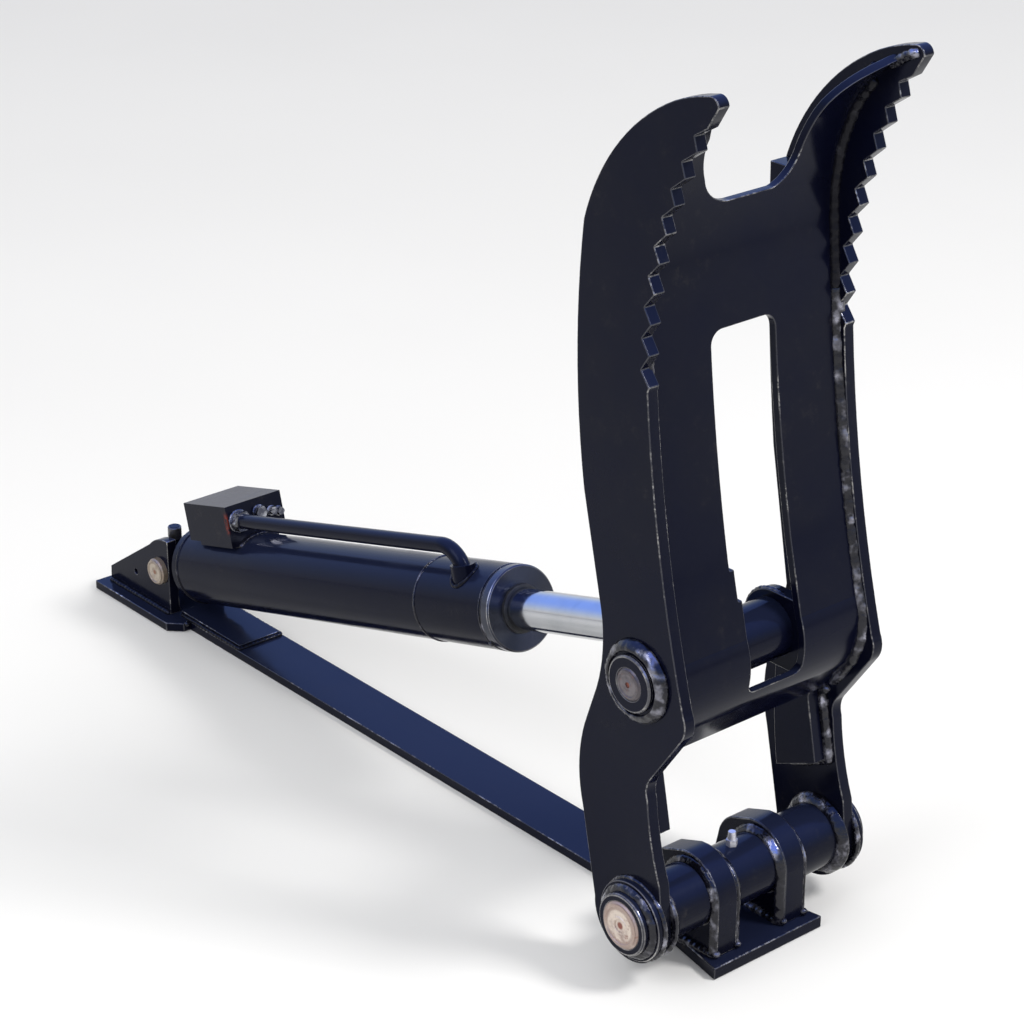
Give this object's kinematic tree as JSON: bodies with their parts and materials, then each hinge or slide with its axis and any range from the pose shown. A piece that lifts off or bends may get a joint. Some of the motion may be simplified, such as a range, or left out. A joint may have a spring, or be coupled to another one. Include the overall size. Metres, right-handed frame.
{
  "type": "hydraulic thumb",
  "caption": "Weld-on excavator thumb with toothed curved side plates, a windowed face plate, a pivot base on a long strip and a hydraulic cylinder that swings it.",
  "frame": {"origin": "on the weld face under the pivot base plate, directly below the thumb pivot and in the middle of the width", "axes": "+X along the strip from the cylinder bracket to the working side, +Y along the pivot pin to the right side, +Z away from the weld face"},
  "size_m": [1.049, 0.2816, 0.8242],
  "materials": {
    "black_paint": "gloss",
    "pin_steel": "satin",
    "hard_chrome": "polished",
    "cast_piston": "machined",
    "bronze_bush": "machined",
    "seal_rubber": "matt",
    "zinc_fitting": "plated"
  },
  "bodies": {
    "base": {"pivot_base_plate": "black_paint", "pivot_ear_left": "black_paint", "pivot_ear_right": "black_paint", "pivot_tube": "black_paint", "pivot_bushes": "bronze_bush", "pivot_nipple": "zinc_fitting", "long_strip": "black_paint", "lap_plate": "black_paint", "rear_base_plate": "black_paint", "rear_ear_left": "black_paint", "rear_ear_right": "black_paint", "rear_pin": "pin_steel"},
    "thumb": {"side_plate_left": "black_paint", "side_plate_right": "black_paint", "inner_doubler_left": "black_paint", "inner_doubler_right": "black_paint", "pin_lug_left": "black_paint", "pin_lug_right": "black_paint", "upper_boss_left": "black_paint", "upper_boss_right": "black_paint", "upper_collar_left": "black_paint", "upper_collar_right": "black_paint", "upper_pin_left": "pin_steel", "upper_pin_right": "pin_steel", "lower_boss_left": "black_paint", "lower_boss_right": "black_paint", "lower_collar_left": "black_paint", "lower_collar_right": "black_paint", "inner_hub_left": "black_paint", "inner_hub_right": "black_paint", "face_plate": "black_paint", "face_stile_left": "black_paint", "face_stile_right": "black_paint", "face_step_left": "black_paint", "face_step_right": "black_paint", "face_foot": "black_paint", "lower_pin": "pin_steel"},
    "barrel": {"rear_eye": "black_paint", "rear_eye_bush": "bronze_bush", "end_cap": "black_paint", "barrel_tube": "black_paint", "front_sleeve": "black_paint", "gland_head": "black_paint", "rod_seal": "seal_rubber", "rod_wiper": "seal_rubber", "port_block": "black_paint", "transfer_tube": "black_paint", "tube_boss": "black_paint", "tube_nut": "zinc_fitting", "block_plugs": "zinc_fitting", "eye_stub": "black_paint"},
    "rod": {"rod": "hard_chrome", "piston": "cast_piston", "piston_seal": "seal_rubber", "piston_nut": "pin_steel", "rod_eye": "black_paint", "rod_eye_bush": "bronze_bush", "rod_eye_pin": "pin_steel"}
  },
  "joints": [
    {"name": "thumb_swing", "type": "hinge", "parent": "base", "child": "thumb", "pos_m": [0, 0, 0.064], "axis": [0, 1, 0], "range_deg": [-60, 10]},
    {"name": "barrel_swing", "type": "hinge", "parent": "base", "child": "barrel", "pos_m": [-0.8698, 0, 0.0579], "axis": [0, -1, 0], "range_deg": [-4.1, 0.7]},
    {"name": "rod_slide", "type": "slide", "parent": "barrel", "child": "rod", "axis": [0.9635, 0, 0.2676], "range_m": [-0.2455, 0.0415]}
  ],
  "couplings": [
    {"joint": "barrel_swing", "follows": "thumb_swing", "ratio": 0.0675},
    {"joint": "rod_slide", "follows": "thumb_swing", "m_per_rad": 0.234}
  ]
}
